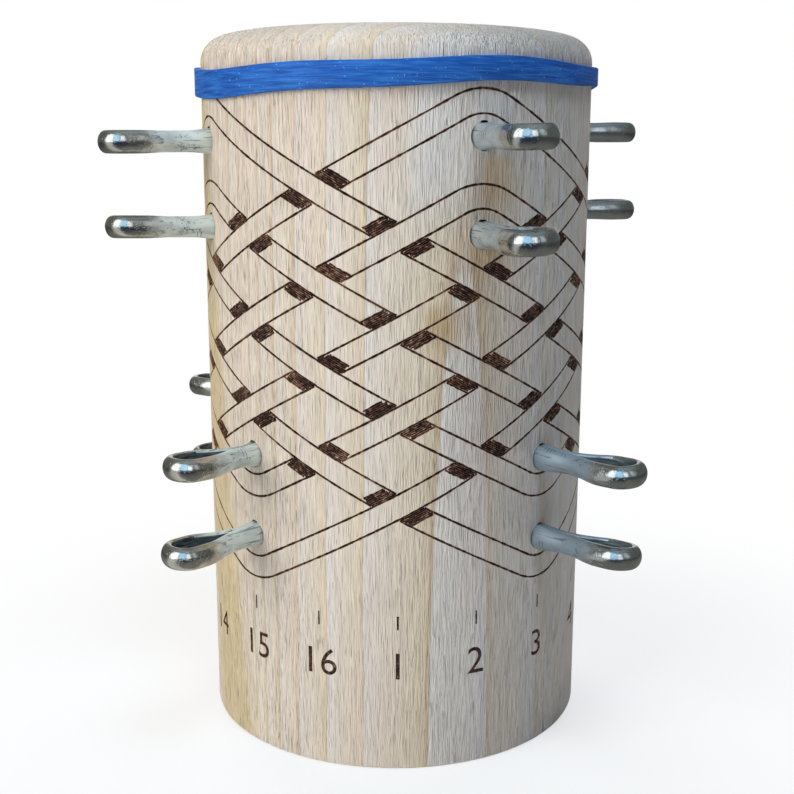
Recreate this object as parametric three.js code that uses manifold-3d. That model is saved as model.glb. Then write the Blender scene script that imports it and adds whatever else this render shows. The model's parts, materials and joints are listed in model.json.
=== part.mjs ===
// Globe knot jig: a turned maple mandrel that stands on its base, with four rings of split pins
// pushed into blind holes and a rubber band that holds the working end of the cord.
// Millimetres, +Z up the mandrel, origin at the centre of the base. Turns are degrees
// about +Z, counted from -Y towards +X.
import * as THREE from "three";
import { mergeVertices } from "three/addons/utils/BufferGeometryUtils.js";
import Module from "manifold-3d";

// Mandrel
const MANDREL_DIAMETER = 63.5;
const TOP_ROUNDING = 4.0;
const BASE_CHAMFER = 0.5;
const MANDREL_SIDES = 96;

// Heights of the pin rings, stacked from the base to the top
const BASE_TO_BOTTOM_OUTER = 35.4;
const BOTTOM_OUTER_TO_INNER = 12.7;
const BOTTOM_INNER_TO_TOP_INNER = 34.8;
const TOP_INNER_TO_OUTER = 13.85;
const TOP_OUTER_TO_TOP = 15.75;

// Split pin: half-round wire folded into an eye, with its two flats face to face in the shank
const SHANK_DIAMETER = 3.7;
const LEG_GAP = 0.3;
const WIRE_CORNER = 0.4;
const SHORT_LEG_IN_WOOD = 20.4;
const LONG_LEG_EXTRA = 1.6;
const LONG_LEG_BEVEL = 40;
const SHANK_OUT_OF_WOOD = 3.4;
const NECK_LENGTH = 8.5;
const EYE_STRAIGHT = 1.7;
const EYE_INNER_WIDTH = 4.3;
const EYE_END_DEPTH = 1.9;

// Blind hole for a pin, long enough for the pin that is pushed in farthest
const HOLE_SIDE_CLEARANCE = 0.2;
const HOLE_END_CLEARANCE = 0.6;
const DRILL_POINT_ANGLE = 118;
const HOLE_SIDES = 16;
const DEEPEST_PIN_EXTRA = 1.2;

// Rubber band
const BAND_THICKNESS = 0.95;
const BAND_WIDTH = 3.9;
const BAND_CORNER = 0.25;
const BAND_CLEARANCE = 0.2;
const BAND_BELOW_ROUNDING = 2.95;

// How the stretched band wanders: each wave goes round the mandrel a whole number of times
const BAND_HEIGHT_WAVES = [
  { count: 1, size: 0.12, turn: 179 },
  { count: 2, size: 0.5, turn: 85 },
  { count: 3, size: 0.24, turn: 41 },
];
const BAND_WIDTH_WAVE = { count: 1, size: 0.6, turn: -114 };

const mandrelRadius = MANDREL_DIAMETER / 2;
const bottomOuterHeight = BASE_TO_BOTTOM_OUTER;
const bottomInnerHeight = bottomOuterHeight + BOTTOM_OUTER_TO_INNER;
const topInnerHeight = bottomInnerHeight + BOTTOM_INNER_TO_TOP_INNER;
const topOuterHeight = topInnerHeight + TOP_INNER_TO_OUTER;
const mandrelHeight = topOuterHeight + TOP_OUTER_TO_TOP;
const bandHeight = mandrelHeight - TOP_ROUNDING - BAND_BELOW_ROUNDING;

const longLegInWood = SHORT_LEG_IN_WOOD + LONG_LEG_EXTRA;
const holeRadius = SHANK_DIAMETER / 2 + HOLE_SIDE_CLEARANCE;
const holeDepth = longLegInWood + DEEPEST_PIN_EXTRA + HOLE_END_CLEARANCE;
const wireDepth = (SHANK_DIAMETER - LEG_GAP) / 2;

const wasm = await Module();
wasm.setup();

const maple = new THREE.MeshStandardMaterial({ color: 0xd8c8ae, roughness: 0.6, metalness: 0 });
const zincSteel = new THREE.MeshStandardMaterial({ color: 0xa9b4b4, roughness: 0.25, metalness: 1 });
const blueRubber = new THREE.MeshStandardMaterial({ color: 0x1f5fae, roughness: 0.7, metalness: 0 });

// A closed mesh as a solid that can be cut or joined.
function solidFrom(geometry) {
  const bare = geometry.clone();
  bare.deleteAttribute("normal");
  bare.deleteAttribute("uv");
  const merged = mergeVertices(bare, 1e-4);
  return new wasm.Manifold(
    new wasm.Mesh({
      numProp: 3,
      vertProperties: merged.getAttribute("position").array,
      triVerts: new Uint32Array(merged.index.array),
    }),
  );
}

function geometryFrom(solid) {
  const cut = solid.getMesh();
  const geometry = new THREE.BufferGeometry();
  geometry.setAttribute("position", new THREE.BufferAttribute(cut.vertProperties, 3));
  geometry.setIndex(new THREE.BufferAttribute(cut.triVerts, 1));
  geometry.computeVertexNormals();
  return geometry;
}

// A lathe turned about +Z, from a profile of (radius, height) points that runs upwards on the outside.
function turned(profile, sides) {
  const geometry = new THREE.LatheGeometry(profile, sides);
  geometry.rotateX(Math.PI / 2);
  return geometry;
}

// The frame of a hole: its +X points out of the wood along the hole, its origin is on the mandrel's axis.
function holeFrame(turn, height) {
  const outwards = THREE.MathUtils.degToRad(turn - 90);
  return new THREE.Matrix4().makeRotationZ(outwards).setPosition(0, 0, height);
}

// The holes of each ring, in order round the mandrel. The middle two, at the back, come a few
// degrees late and sit higher than the ring's height by their rise. Each pin stands out of its
// hole by a little more or less than the usual length.
const rings = [
  {
    name: "top_outer_pin",
    height: topOuterHeight,
    holes: [
      { turn: 22.5, rise: 0.1, standOut: 0 },
      { turn: 117, rise: 1.4, standOut: 0 },
      { turn: 210, rise: 1.4, standOut: 0.3 },
      { turn: 292.5, rise: -0.5, standOut: -0.1 },
    ],
  },
  {
    name: "top_inner_pin",
    height: topInnerHeight,
    holes: [
      { turn: 22.5, rise: 0, standOut: 0.7 },
      { turn: 117, rise: 1.4, standOut: 0.4 },
      { turn: 210, rise: 1.4, standOut: -0.3 },
      { turn: 292.5, rise: 0.1, standOut: -0.6 },
    ],
  },
  {
    name: "bottom_inner_pin",
    height: bottomInnerHeight,
    holes: [
      { turn: 45, rise: -0.1, standOut: 1.4 },
      { turn: 140, rise: 1.4, standOut: 0.5 },
      { turn: 233.5, rise: 1.9, standOut: 0 },
      { turn: 315, rise: 0.4, standOut: -1.2 },
    ],
  },
  {
    name: "bottom_outer_pin",
    height: bottomOuterHeight,
    holes: [
      { turn: 45, rise: -0.3, standOut: 1.1 },
      { turn: 140, rise: 1.0, standOut: -0.2 },
      { turn: 233.5, rise: 0.5, standOut: 0 },
      { turn: 315, rise: 0.2, standOut: -0.3 },
    ],
  },
];

// The mandrel before drilling: a small chamfer at the base and a quarter round at the top.
function mandrelBlank() {
  const profile = [
    new THREE.Vector2(0, 0),
    new THREE.Vector2(mandrelRadius - BASE_CHAMFER, 0),
    new THREE.Vector2(mandrelRadius, BASE_CHAMFER),
  ];
  const roundingSteps = 6;
  for (let i = 0; i <= roundingSteps; i++) {
    const angle = (Math.PI / 2) * (i / roundingSteps);
    profile.push(
      new THREE.Vector2(
        mandrelRadius - TOP_ROUNDING + TOP_ROUNDING * Math.cos(angle),
        mandrelHeight - TOP_ROUNDING + TOP_ROUNDING * Math.sin(angle),
      ),
    );
  }
  profile.push(new THREE.Vector2(0, mandrelHeight));
  return turned(profile, MANDREL_SIDES);
}

// The drill: a straight flute with a pointed tip, lying along +X from the hole's end to past the wood.
// Its flats clear the pin, so its corners stand a little outside the hole's radius.
function drill() {
  const cornerRadius = holeRadius / Math.cos(Math.PI / HOLE_SIDES);
  const tip = cornerRadius / Math.tan(THREE.MathUtils.degToRad(DRILL_POINT_ANGLE / 2));
  const overrun = 2;
  const profile = [
    new THREE.Vector2(0, -tip),
    new THREE.Vector2(cornerRadius, 0),
    new THREE.Vector2(cornerRadius, holeDepth + overrun),
    new THREE.Vector2(0, holeDepth + overrun),
  ];
  const geometry = turned(profile, HOLE_SIDES);
  geometry.rotateY(Math.PI / 2);
  geometry.translate(mandrelRadius - holeDepth, 0, 0);
  return geometry;
}

function drilledMandrel() {
  let solid = solidFrom(mandrelBlank());
  const bit = drill();
  for (const ring of rings) {
    for (const { turn, rise } of ring.holes) {
      const seat = holeFrame(turn, ring.height + rise);
      solid = solid.subtract(solidFrom(bit.clone().applyMatrix4(seat)));
    }
  }
  return geometryFrom(solid);
}

// A flat curve made of pieces, each with its own number of stations, so that the bends
// get more of them than the straight legs.
class StationedPath extends THREE.Curve {
  constructor(pieces) {
    super();
    this.pieces = pieces;
    this.stations = pieces.reduce((sum, piece) => sum + piece.stations, 0);
  }

  getPoint(t, target = new THREE.Vector3()) {
    let station = Math.min(Math.max(t, 0), 1) * this.stations;
    let piece = this.pieces[0];
    for (piece of this.pieces) {
      if (station <= piece.stations || piece === this.pieces.at(-1)) break;
      station -= piece.stations;
    }
    const flat = piece.curve.getPoint(station / piece.stations);
    return target.set(flat.x, flat.y, 0);
  }

  getUtoTmapping(u) {
    return u;
  }
}

// The line of the wire's flat, from the long leg's end round the eye to the short leg's end.
function wirePath() {
  const surface = mandrelRadius;
  const legSide = LEG_GAP / 2;
  const eyeSide = EYE_INNER_WIDTH / 2;
  const neckStart = surface + SHANK_OUT_OF_WOOD;
  const neckEnd = neckStart + NECK_LENGTH;
  const eyeCentre = neckEnd + EYE_STRAIGHT;
  const point = (x, y) => new THREE.Vector2(x, y);
  // The neck leaves the shank gently and turns into the eye more sharply.
  const neck = (side) => [
    point(neckStart, side * legSide),
    point(neckStart + NECK_LENGTH * 0.5, side * legSide),
    point(neckEnd - NECK_LENGTH * 0.35, side * eyeSide),
    point(neckEnd, side * eyeSide),
  ];
  const longLegEnd = point(surface - longLegInWood, -legSide);
  const shortLegEnd = point(surface - SHORT_LEG_IN_WOOD, legSide);
  const outwardNeck = neck(-1);
  const returningNeck = neck(1).reverse();
  return new StationedPath([
    { curve: new THREE.LineCurve(longLegEnd, outwardNeck[0]), stations: 1 },
    { curve: new THREE.CubicBezierCurve(...outwardNeck), stations: 5 },
    { curve: new THREE.LineCurve(outwardNeck[3], point(eyeCentre, -eyeSide)), stations: 1 },
    {
      curve: new THREE.EllipseCurve(
        eyeCentre,
        0,
        EYE_END_DEPTH,
        eyeSide,
        -Math.PI / 2,
        Math.PI / 2,
      ),
      stations: 10,
    },
    { curve: new THREE.LineCurve(point(eyeCentre, eyeSide), returningNeck[0]), stations: 1 },
    { curve: new THREE.CubicBezierCurve(...returningNeck), stations: 5 },
    { curve: new THREE.LineCurve(returningNeck[3], shortLegEnd), stations: 1 },
  ]);
}

// The half-round section: its flat is the face that meets the other leg, at y = 0,
// and the round of the wire stands out towards -y.
function wireSection() {
  const halfHeight = SHANK_DIAMETER / 2;
  const roundSteps = 8;
  const points = [
    new THREE.Vector2(-halfHeight + WIRE_CORNER, 0),
    new THREE.Vector2(halfHeight - WIRE_CORNER, 0),
  ];
  for (let i = 0; i <= roundSteps; i++) {
    const angle = (-Math.PI * i) / roundSteps;
    points.push(
      new THREE.Vector2(
        halfHeight * Math.cos(angle),
        -WIRE_CORNER + (wireDepth - WIRE_CORNER) * Math.sin(angle),
      ),
    );
  }
  return new THREE.Shape(points);
}

// The wedge that bevels the end of the long leg, so that the pin finds its hole.
function legBevel() {
  const reach = SHANK_DIAMETER * 2;
  const geometry = new THREE.BoxGeometry(reach, reach, reach);
  geometry.translate(-reach / 2, 0, 0);
  geometry.rotateZ(THREE.MathUtils.degToRad(LONG_LEG_BEVEL - 90));
  geometry.rotateZ(Math.PI / 2);
  geometry.translate(mandrelRadius - longLegInWood, -LEG_GAP / 2, 0);
  return geometry;
}

// One pin in its hole's frame, pushed in to the usual depth.
function splitPin() {
  const path = wirePath();
  const wire = new THREE.ExtrudeGeometry(wireSection(), {
    steps: path.stations,
    extrudePath: path,
  });
  return geometryFrom(solidFrom(wire).subtract(solidFrom(legBevel())));
}

function wave({ count, size, turn }, angle) {
  return size * Math.cos(count * angle - THREE.MathUtils.degToRad(turn));
}

// The band: a turned ring with broken corners, then drawn up and down and in and out of width
// by its waves.
function rubberBand() {
  const inner = mandrelRadius + BAND_CLEARANCE;
  const outer = inner + BAND_THICKNESS;
  const half = BAND_WIDTH / 2;
  const corners = [
    [inner, -half + BAND_CORNER],
    [inner + BAND_CORNER, -half],
    [outer - BAND_CORNER, -half],
    [outer, -half + BAND_CORNER],
    [outer, half - BAND_CORNER],
    [outer - BAND_CORNER, half],
    [inner + BAND_CORNER, half],
    [inner, half - BAND_CORNER],
    [inner, -half + BAND_CORNER],
  ];
  const geometry = turned(
    corners.map(([radius, height]) => new THREE.Vector2(radius, height)),
    MANDREL_SIDES,
  );
  const position = geometry.getAttribute("position");
  for (let i = 0; i < position.count; i++) {
    const angle = Math.atan2(position.getX(i), -position.getY(i));
    const width = BAND_WIDTH + wave(BAND_WIDTH_WAVE, angle);
    const rise = BAND_HEIGHT_WAVES.reduce((sum, each) => sum + wave(each, angle), 0);
    position.setZ(i, rise + (position.getZ(i) * width) / BAND_WIDTH);
  }
  return geometry;
}

const jig = new THREE.Group();

const mandrel = new THREE.Mesh(drilledMandrel(), maple);
mandrel.name = "mandrel";
jig.add(mandrel);

const pinGeometry = splitPin();
for (const ring of rings) {
  ring.holes.forEach(({ turn, rise, standOut }, i) => {
    const pin = new THREE.Mesh(pinGeometry, zincSteel);
    pin.name = `${ring.name}_${i + 1}`;
    pin.translateX(standOut);
    pin.applyMatrix4(holeFrame(turn, ring.height + rise));
    jig.add(pin);
  });
}

const band = new THREE.Mesh(rubberBand(), blueRubber);
band.name = "rubber_band";
band.position.z = bandHeight;
jig.add(band);

export default jig;
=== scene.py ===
# %% [markdown]
# # Globe knot jig
# The jig is a turned maple mandrel with a knot diagram burnt into its side, sixteen split pins
# that the cord is laid round, and a blue rubber band that holds the cord's end.
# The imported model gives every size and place. This lesson makes the surfaces: grain, scorched
# grooves, bright wire and stretched rubber.

# %% Load the frame
import json
import math
import random

import bpy
from mathutils import Matrix, Vector


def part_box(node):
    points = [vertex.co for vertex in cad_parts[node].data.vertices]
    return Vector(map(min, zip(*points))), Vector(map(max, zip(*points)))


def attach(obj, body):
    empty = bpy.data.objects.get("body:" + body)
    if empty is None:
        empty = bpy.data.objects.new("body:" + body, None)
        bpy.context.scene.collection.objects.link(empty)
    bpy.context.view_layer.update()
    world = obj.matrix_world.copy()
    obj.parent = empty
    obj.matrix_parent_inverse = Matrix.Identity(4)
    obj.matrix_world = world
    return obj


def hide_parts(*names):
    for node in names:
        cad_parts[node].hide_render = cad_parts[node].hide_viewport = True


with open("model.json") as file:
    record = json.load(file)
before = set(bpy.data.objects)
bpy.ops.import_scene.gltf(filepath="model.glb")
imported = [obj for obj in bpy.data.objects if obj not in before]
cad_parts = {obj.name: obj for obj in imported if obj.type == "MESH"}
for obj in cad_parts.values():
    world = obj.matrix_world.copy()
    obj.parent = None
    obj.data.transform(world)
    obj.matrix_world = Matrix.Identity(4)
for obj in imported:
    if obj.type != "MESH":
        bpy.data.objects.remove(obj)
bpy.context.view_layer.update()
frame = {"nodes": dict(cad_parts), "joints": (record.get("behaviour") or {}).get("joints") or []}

MM = 0.001

# %% [markdown]
# ## Sizes that the frame gives
# A mandrel is round, so its radius is half the width of its box. A pin slides out along its
# joint's axis, so that axis says which way it points, the middle of its box says how high it
# sits, and its farthest point says how far it stands out. So every new piece has its real seat.

# %% Read the mandrel and the pins
_, mandrel_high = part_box("mandrel")
RADIUS = mandrel_high.x
HEIGHT = mandrel_high.z

hole_places = {}
pin_reach = {}
for joint in frame["joints"]:
    if joint["name"].endswith("_pull"):
        pin_name = joint["child"]
        out = Vector(joint["axis"])
        low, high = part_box(pin_name)
        level = Matrix.Translation((0, 0, (low.z + high.z) / 2))
        hole_places[pin_name] = level @ Matrix.Rotation(math.atan2(out.y, out.x), 4, "Z")
        points = frame["nodes"][pin_name].data.vertices
        pin_reach[pin_name] = max(out.dot(point.co) for point in points)
print(f"mandrel {2 * RADIUS / MM:.1f} x {HEIGHT / MM:.1f} mm, {len(hole_places)} pins")

# %% [markdown]
# ## The camera
# The photograph looks slightly down at the jig from about 20 cm, close enough for the mandrel to
# look narrower at its foot. The camera's matrix is made of its forward, right and up directions.

# %% Place the camera
CAMERA_TURN = math.radians(-0.66)
CAMERA_DISTANCE = 201.1 * MM
CAMERA_HEIGHT = 94.81 * MM
CAMERA_PITCH = math.radians(11.76)
CAMERA_YAW = math.radians(0.06)
CAMERA_ROLL = math.radians(0.10)
SENSOR_WIDTH = 36
FOCAL_LENGTH = 53.61

forward = Vector((
    math.sin(CAMERA_YAW) * math.cos(CAMERA_PITCH),
    math.cos(CAMERA_YAW) * math.cos(CAMERA_PITCH),
    -math.sin(CAMERA_PITCH),
))
level_right = forward.cross(Vector((0, 0, 1))).normalized()
level_up = level_right.cross(forward)
right = math.cos(CAMERA_ROLL) * level_right + math.sin(CAMERA_ROLL) * level_up
up = right.cross(forward)
aim = Matrix((right, up, -forward)).transposed().to_4x4()

bpy.ops.object.camera_add()
camera = bpy.context.object
camera.name = "camera"
camera.data.sensor_width = SENSOR_WIDTH
camera.data.lens = FOCAL_LENGTH
camera.matrix_world = (
    Matrix.Rotation(CAMERA_TURN, 4, "Z")
    @ Matrix.Translation((0, -CAMERA_DISTANCE, CAMERA_HEIGHT))
    @ aim
)
bpy.context.scene.camera = camera
bpy.context.scene.view_settings.view_transform = "Standard"
print("camera at", [round(c / MM, 1) for c in camera.matrix_world.translation])

# %% [markdown]
# ## Shader maths as plain expressions
# Grain and scorch marks are sums, products and limits of noise, which is a lot of small Math
# nodes. A reading is the value at one socket, and its operators add the Math node that works out
# the result, so `1 - mask` is written as it is said.

# %% A reading of a surface, and the sheet it is written on
def paint(red, green, blue):
    """A screen colour of 0 to 255 as the light it reflects, by the sRGB curve."""
    shares = [part / 255 for part in (red, green, blue)]
    return (*[s / 12.92 if s <= 0.04045 else ((s + 0.055) / 1.055) ** 2.4 for s in shares], 1)


class Reading:
    """A number that varies over a surface: one output socket of a sheet."""

    def __init__(self, sheet, socket):
        self.sheet = sheet
        self.socket = socket

    def maths(self, operation, *others, clamp=False):
        settings = {"operation": operation, "use_clamp": clamp}
        return self.sheet.node("ShaderNodeMath", dict(enumerate((self, *others))), settings)

    def __add__(self, other):
        return self.maths("ADD", other)

    def __sub__(self, other):
        return self.maths("SUBTRACT", other)

    def __mul__(self, other):
        return self.maths("MULTIPLY", other)

    def __truediv__(self, other):
        return self.maths("DIVIDE", other)

    def __pow__(self, other):
        return self.maths("POWER", other)

    __radd__ = __add__
    __rmul__ = __mul__

    def __rsub__(self, other):
        return self.sheet.node("ShaderNodeMath", {0: other, 1: self}, {"operation": "SUBTRACT"})

    def step(self, start, end):
        """A smooth change from 0 at start to 1 at end, whichever of them is the higher."""
        settings = {"interpolation_type": "SMOOTHSTEP"}
        if start < end:
            sockets = {0: self, 1: start, 2: end}
        else:
            sockets = {0: self, 1: end, 2: start, 3: 1, 4: 0}
        return self.sheet.node("ShaderNodeMapRange", sockets, settings)

    def patch(self, low, high, soft):
        """1 between two limits and 0 outside them, with soft edges."""
        return self.step(low - soft, low + soft) * self.step(high + soft, high - soft)

    def ramp(self, stops):
        """A colour that runs through stops of (place, colour)."""
        return self.sheet.node("ShaderNodeValToRGB", {0: self}, {"stops": stops})


class Sheet:
    """A node tree being written: a material's, or the world's."""

    def __init__(self, owner):
        owner.use_nodes = True
        self.owner = owner
        self.tree = owner.node_tree
        self.tree.nodes.clear()

    def node(self, kind, sockets=None, settings=None, out=0):
        made = self.tree.nodes.new(kind)
        for name, value in (settings or {}).items():
            if name == "stops":
                self.set_stops(made.color_ramp, value)
            else:
                setattr(made, name, value)
        for name, value in (sockets or {}).items():
            if isinstance(value, Reading):
                self.tree.links.new(value.socket, made.inputs[name])
            else:
                made.inputs[name].default_value = value
        return Reading(self, made.outputs[out]) if made.outputs else made

    @staticmethod
    def set_stops(color_ramp, stops):
        while len(color_ramp.elements) < len(stops):
            color_ramp.elements.new(0.5)
        for element, (place, colour) in zip(color_ramp.elements, stops):
            element.position = place
            element.color = colour

    def mix(self, factor, low, high, blend="MIX"):
        """A colour between two others, or one laid over the other."""
        settings = {"data_type": "RGBA", "blend_type": blend, "clamp_factor": True}
        # A Mix node has sockets for numbers and vectors too: its colours are 6, 7 and output 2.
        return self.node("ShaderNodeMix", {0: factor, 6: low, 7: high}, settings, out=2)

    def place(self, scale=(1, 1, 1), move=(0, 0, 0)):
        """The point on the piece in millimetres, squeezed by scale."""
        point = self.node("ShaderNodeTexCoord", out="Object")
        sockets = {"Vector": point, "Scale": [s / MM for s in scale], "Location": move}
        return self.node("ShaderNodeMapping", sockets, {"vector_type": "POINT"})

    def vector(self, *parts):
        """A vector put together from three readings."""
        return self.node("ShaderNodeCombineXYZ", dict(enumerate(parts)))

    def parts(self, vector):
        """The three parts of a vector as readings."""
        split = self.node("ShaderNodeSeparateXYZ", {0: vector}).socket.node
        return [Reading(self, socket) for socket in split.outputs]

    def noise(self, vector, detail=2.0, roughness=0.5):
        """Noise from 0 to 1, with one wave per unit of its vector."""
        sockets = {"Vector": vector, "Scale": 1.0, "Detail": detail, "Roughness": roughness}
        return self.node("ShaderNodeTexNoise", sockets, {"noise_dimensions": "3D"})

    def bump(self, height, depth, strength=1.0):
        """A normal from a relief whose full height is depth, in metres."""
        sockets = {"Height": height, "Distance": depth, "Strength": strength}
        return self.node("ShaderNodeBump", sockets)

    def ray(self, kind):
        """1 for the rays of one kind, such as those that leave the camera."""
        return self.node("ShaderNodeLightPath", out=f"Is {kind} Ray")

    def finish(self, **sockets):
        """The surface itself, one Principled shader."""
        wanted = {name.replace("_", " "): value for name, value in sockets.items()}
        shader = self.node("ShaderNodeBsdfPrincipled", wanted)
        self.node("ShaderNodeOutputMaterial", {"Surface": shader})
        return self.owner


def new_finish(name):
    return Sheet(bpy.data.materials.new(name))


print("readings and sheets are ready")

# %% [markdown]
# ## The floor and the backdrop
# The jig stands on a plain pale floor that fades to white, so no horizon cuts the picture. Near
# the jig it is a real matt surface that takes its shadow, and farther out the camera sees white.
# But bright wire shows its surroundings, and on white alone it would look like paper. So
# reflections meet the yard that the photograph was taken in: sun on the ground at the left, sky
# and cloud above, the dark figure that holds the camera, and olive shade all round. Seen from
# the jig, a thing's turn is its angle in degrees from the front towards the right, and its lift
# is its angle above level.

# %% Lay the floor
FLOOR_RADIUS = 6.0
FLOOR_SIDES = 96
SHADOW_REACH = 0.035
WHITE_FROM = 0.13
SHADOW_SHARE = 0.36
DEGREES = 180 / math.pi
WHITE = (1, 1, 1, 1)
MATT_WHITE = (0.93, 0.93, 0.93, 1)
NEAR_GROUND = (0.25, 0.25, 0.225, 1)
FAR_GROUND = (0.09, 0.095, 0.09, 1)
SUNLIT = (0.75, 0.75, 0.72, 1)
FIGURE = (0.05, 0.06, 0.10, 1)
GROUND_DARKENS = (0.05, 0.35)
SUN_FROM, SUN_TO = (-84, -66), (-38, -46)
FEET_FROM, FEET_TO = (-40, -32), (30, 22)
FEET_BEYOND = (0.06, 0.22)


def only(piece):
    """Select one piece and nothing else."""
    bpy.ops.object.select_all(action="DESELECT")
    piece.select_set(True)
    bpy.context.view_layer.objects.active = piece


bpy.ops.mesh.primitive_circle_add(vertices=FLOOR_SIDES, radius=FLOOR_RADIUS, fill_type="NGON")
floor = bpy.context.object
floor.name = "floor"
sheet = new_finish("pale_floor")
across, along, _ = sheet.parts(sheet.node("ShaderNodeTexCoord", out="Object"))
distance = (across * across + along * along) ** 0.5
turn = across.maths("ARCTAN2", -1 * along) * DEGREES
ground = sheet.mix(distance.step(*GROUND_DARKENS), NEAR_GROUND, FAR_GROUND)
ground = sheet.mix(turn.step(*SUN_FROM) * turn.step(*SUN_TO), ground, SUNLIT)
feet = turn.step(*FEET_FROM) * turn.step(*FEET_TO) * distance.step(*FEET_BEYOND)
ground = sheet.mix(feet, ground, FIGURE)
seen = sheet.ray("Camera").maths("ADD", sheet.ray("Transmission"), clamp=True)
mirrored = sheet.ray("Glossy")
glow = sheet.mix(mirrored, WHITE, ground)
white = sheet.node("ShaderNodeEmission", {"Color": glow})
matt = sheet.node("ShaderNodeBsdfDiffuse", {"Color": MATT_WHITE})
shadow = (1 - distance.step(SHADOW_REACH, WHITE_FROM)) * SHADOW_SHARE
share = (1 - shadow) * seen + mirrored
surface = sheet.node("ShaderNodeMixShader", {0: share, 1: matt, 2: white})
sheet.node("ShaderNodeOutputMaterial", {"Surface": surface})
floor.data.materials.append(sheet.owner)
print("floor laid,", len(floor.data.polygons), "face")

# %% Light the world
AMBIENT = (0.72, 0.80, 1.0, 1)
AMBIENT_LEVEL = 0.103
SHADE = (0.16, 0.175, 0.17, 1)
WARM_SHADE = (0.21, 0.20, 0.17, 1)
ZENITH = (0.42, 0.50, 0.56, 1)
SKY = (0.80, 1.45, 2.1, 1)
CLOUD = (2.5, 2.6, 2.8, 1)
# Spans of turn and lift. Where there are three numbers, the last is the softness of both edges.
SHADE_COOLS = (-160, -105)
ZENITH_LIFT = (30, 85)
FIGURE_TURN, FIGURE_TOP = (-36, 34, 4), (8, 2)
LEFT_CLOUD_TURN, LEFT_CLOUD_TOP = (-76, -38, 4), (58, 46)
SKY_TURN, SKY_LIFT = (-34, -2, 2), (4, 56, 3)
HIGH_CLOUD_TURN, HIGH_CLOUD_LIFT, HIGH_CLOUD_SHARE = (2, 24, 3), (6, 46, 4), 0.8
THIN_CLOUD_TURN, THIN_CLOUD_LIFT, THIN_CLOUD_SHARE = (38, 58, 5), (10, 48, 6), 0.3
BACKDROP_FROM = (0.88, 0.96)

world = bpy.data.worlds.new("studio")
bpy.context.scene.world = world
sheet = Sheet(world)
across, away, upwards = sheet.parts(sheet.node("ShaderNodeTexCoord", out="Generated"))
turn = across.maths("ARCTAN2", -1 * away) * DEGREES
lift = upwards.maths("ARCSINE") * DEGREES
reflected = sheet.mix(turn.step(*SHADE_COOLS), WARM_SHADE, SHADE)
reflected = sheet.mix(lift.step(*ZENITH_LIFT), reflected, ZENITH)
reflected = sheet.mix(turn.patch(*FIGURE_TURN) * lift.step(*FIGURE_TOP), reflected, FIGURE)
left_cloud = turn.patch(*LEFT_CLOUD_TURN) * lift.step(*LEFT_CLOUD_TOP)
reflected = sheet.mix(left_cloud, reflected, CLOUD)
reflected = sheet.mix(turn.patch(*SKY_TURN) * lift.patch(*SKY_LIFT), reflected, SKY)
high_cloud = turn.patch(*HIGH_CLOUD_TURN) * lift.patch(*HIGH_CLOUD_LIFT)
reflected = sheet.mix(high_cloud * HIGH_CLOUD_SHARE, reflected, CLOUD)
thin_cloud = turn.patch(*THIN_CLOUD_TURN) * lift.patch(*THIN_CLOUD_LIFT)
reflected = sheet.mix(thin_cloud * THIN_CLOUD_SHARE, reflected, CLOUD)
reflected = sheet.mix(away.step(*BACKDROP_FROM), reflected, WHITE)
ambient = sheet.node("ShaderNodeBackground", {"Color": AMBIENT, "Strength": AMBIENT_LEVEL})
yard = sheet.node("ShaderNodeBackground", {"Color": reflected})
backdrop = sheet.node("ShaderNodeBackground", {"Color": WHITE})
lit = sheet.node("ShaderNodeMixShader", {0: sheet.ray("Glossy"), 1: ambient, 2: yard})
seen = sheet.ray("Camera").maths("ADD", sheet.ray("Transmission"), clamp=True)
surroundings = sheet.node("ShaderNodeMixShader", {0: seen, 1: lit, 2: backdrop})
sheet.node("ShaderNodeOutputWorld", {"Surface": surroundings})
print("world lit at", AMBIENT_LEVEL)

# %% [markdown]
# ## The lamps
# In the photograph daylight comes from the front left: the left of the wood is bright and warm,
# and the right falls into cool shade. One large soft panel gives that, a small blue one at the
# upper right is the sky that cools the shaded side, a weak one overhead stands for the rest of
# the sky, and two behind keep the back readable. They light matt surfaces only, because the yard
# above already holds what the wire mirrors.

# %% Hang the lamps
AIM = Vector((0, 0, 0.065))
# Name, turn, lift, distance, width, height, watts, colour
LAMPS = [
    ("window_left", -54, 23, 0.80, 0.50, 0.52, 5.25, (1.0, 0.97, 0.92)),
    ("sky_right", 22, 62, 0.34, 0.10, 0.10, 0.54, (0.62, 0.81, 1.0)),
    ("behind_left", -158, 22, 0.75, 0.40, 0.40, 2.6, (1.0, 0.97, 0.92)),
    ("behind_right", 152, 22, 0.75, 0.40, 0.40, 1.5, (1.0, 0.97, 0.94)),
    ("overhead", 0, 89, 0.75, 0.5, 0.5, 0.4, (0.86, 0.94, 1.0)),
]


def hang_lamp(name, turn, lift, distance, width, height, watts, colour):
    """A soft panel that faces the jig."""
    turn, lift = math.radians(turn), math.radians(lift)
    level = math.cos(lift)
    out = Vector((math.sin(turn) * level, -math.cos(turn) * level, math.sin(lift)))
    bpy.ops.object.light_add(type="AREA", location=AIM + out * distance)
    lamp = bpy.context.object
    lamp.name = name
    lamp.rotation_mode = "QUATERNION"
    lamp.rotation_quaternion = out.to_track_quat("Z", "Y")
    lamp.data.shape = "RECTANGLE"
    lamp.data.size = width
    lamp.data.size_y = height
    lamp.data.energy = watts
    lamp.data.color = colour
    lamp.visible_glossy = False


for lamp in LAMPS:
    hang_lamp(*lamp)

# %% [markdown]
# ## The mandrel blank
# The real mandrel was turned on a lathe: one maple cylinder with a quarter round at the top and
# a small chamfer at the base. A cylinder whose two rims are bevelled gives the same form. Each
# end is inset once, so that the rounding doesn't pull the shading of the flat ends round.

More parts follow.
